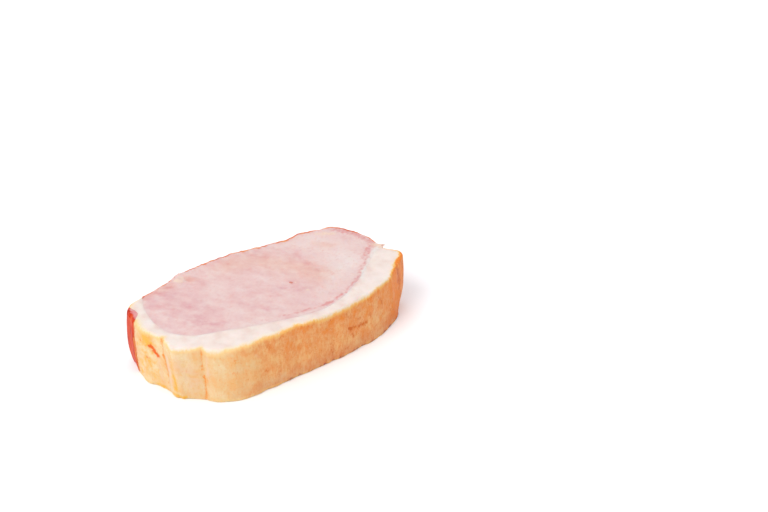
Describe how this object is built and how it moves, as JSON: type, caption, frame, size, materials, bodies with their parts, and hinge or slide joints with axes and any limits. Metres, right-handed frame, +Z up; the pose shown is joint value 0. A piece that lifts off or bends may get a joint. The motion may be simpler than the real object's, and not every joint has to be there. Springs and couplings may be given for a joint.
{
  "type": "smoked pork loin chop",
  "caption": "Thick boneless slice of smoked pork loin: an oval lean eye wrapped by back fat with golden rind, a thin side strip at one end, lying on its cut face.",
  "frame": {"origin": "under the middle of the slice's bounding box, on the cut face it lies on", "axes": "+X along the slice from the side-strip end to the broad fat end, +Y from the rind to the smoked back, +Z up, square to the cut faces"},
  "size_m": [0.1332, 0.0781, 0.0292],
  "materials": {
    "lean": "moist pale pink cured lean on the cut faces, dark red-orange smoked surface along the back",
    "fat_and_rind": "waxy cream fat on the cut faces, satin golden-tan smoked rind outside",
    "side_lean": "satin dark red smoked lean, pink where cut"
  },
  "bodies": {
    "root": {"loin_eye": "lean", "fat_cap": "fat_and_rind", "side_strip": "side_lean"}
  },
  "joints": []
}
